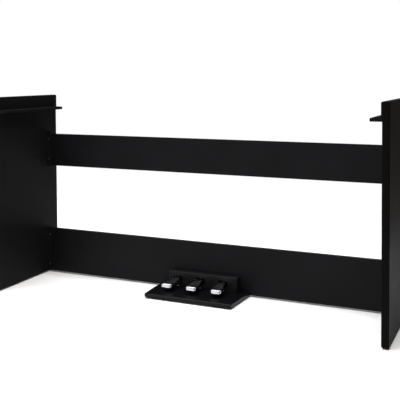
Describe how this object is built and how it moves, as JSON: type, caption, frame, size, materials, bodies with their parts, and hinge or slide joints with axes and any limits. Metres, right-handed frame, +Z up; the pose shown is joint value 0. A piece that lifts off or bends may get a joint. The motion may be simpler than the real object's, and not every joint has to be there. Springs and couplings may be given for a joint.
{
  "type": "digital piano stand with pedals",
  "caption": "Two-panel stand for a slab digital piano: steel keyboard ledges, two rear rails and a pedal unit with sprung flared pedals on a floor board.",
  "frame": {"origin": "on the floor under the middle of the stand's width and depth", "axes": "+X along the rails to the player's right, +Y to the back, +Z up"},
  "size_m": [1.374, 0.36, 0.685],
  "materials": {
    "black_laminate": "satin black laminate on particle board, faint bluish tint",
    "base_laminate": "satin black laminate with a softened front edge",
    "black_steel": "black powder coat, semi-matt",
    "black_screw": "black zinc",
    "zinc_steel": "zinc plated",
    "bright_steel": "ground",
    "spring_steel": "oiled",
    "pedal_chrome": "polished chrome plate",
    "white_nylon": "natural nylon",
    "black_plastic": "fine-textured black ABS",
    "glide_plastic": "matt black polyethylene",
    "black_rubber": "matt",
    "pad_foam": "matt self-adhesive foam rubber",
    "felt": "dense wool felt",
    "silicone": "matt silicone",
    "circuit_board": "solder mask",
    "jack_plastic": "moulded black plastic",
    "beech": "plain fluted beech"
  },
  "bodies": {
    "stand": {"back_left_glide": "glide_plastic", "back_right_glide": "glide_plastic", "base_front_pads": "black_rubber", "base_rear_pads": "black_rubber", "board_spacers": "white_nylon", "chassis_screws": "zinc_steel", "dome_contacts": "silicone", "down_stop_blocks": "black_rubber", "front_cover_screws": "black_screw", "front_left_glide": "glide_plastic", "front_right_glide": "glide_plastic", "left_keyboard_ledge": "black_steel", "left_ledge_pads": "pad_foam", "left_ledge_screws": "black_screw", "left_panel_bracket_screws": "black_screw", "left_return_spring": "spring_steel", "left_side_panel": "black_laminate", "lower_left_rail_bracket": "black_steel", "lower_rail": "black_laminate", "lower_rail_bracket_screws": "black_screw", "lower_rail_dowels": "beech", "lower_right_rail_bracket": "black_steel", "middle_return_spring": "spring_steel", "pedal_base_board": "base_laminate", "pedal_cable_jack": "jack_plastic", "pedal_chassis": "zinc_steel", "pedal_front_cover": "black_plastic", "pedal_rear_cover": "black_plastic", "pivot_shaft": "bright_steel", "rear_cover_screws": "black_screw", "right_keyboard_ledge": "black_steel", "right_ledge_pads": "pad_foam", "right_ledge_screws": "black_screw", "right_panel_bracket_screws": "black_screw", "right_return_spring": "spring_steel", "right_side_panel": "black_laminate", "sensor_board": "circuit_board", "shaft_clips": "bright_steel", "upper_left_rail_bracket": "black_steel", "upper_rail": "black_laminate", "upper_rail_bracket_screws": "black_screw", "upper_rail_dowels": "beech", "upper_right_rail_bracket": "black_steel", "upper_stop_bar": "zinc_steel", "upper_stop_felt": "felt"},
    "left_pedal_arm": {"left_pedal": "pedal_chrome", "left_pivot_bush": "white_nylon"},
    "middle_pedal_arm": {"middle_pedal": "pedal_chrome", "middle_pivot_bush": "white_nylon"},
    "right_pedal_arm": {"right_pedal": "pedal_chrome", "right_pivot_bush": "white_nylon"}
  },
  "joints": [
    {"name": "left_pedal_press", "type": "hinge", "parent": "stand", "child": "left_pedal_arm", "pos_m": [-0.093, 0.158, 0.038], "axis": [1, 0, 0], "range_deg": [0, 4], "stiffness_Nm_per_rad": 20, "springref_deg": -6.88, "deforming": ["left_return_spring"]},
    {"name": "middle_pedal_press", "type": "hinge", "parent": "stand", "child": "middle_pedal_arm", "pos_m": [-0.007, 0.158, 0.038], "axis": [1, 0, 0], "range_deg": [0, 4], "stiffness_Nm_per_rad": 20, "springref_deg": -6.88, "deforming": ["middle_return_spring"]},
    {"name": "right_pedal_press", "type": "hinge", "parent": "stand", "child": "right_pedal_arm", "pos_m": [0.079, 0.158, 0.038], "axis": [1, 0, 0], "range_deg": [0, 4], "stiffness_Nm_per_rad": 20, "springref_deg": -6.88, "deforming": ["right_return_spring"]}
  ]
}
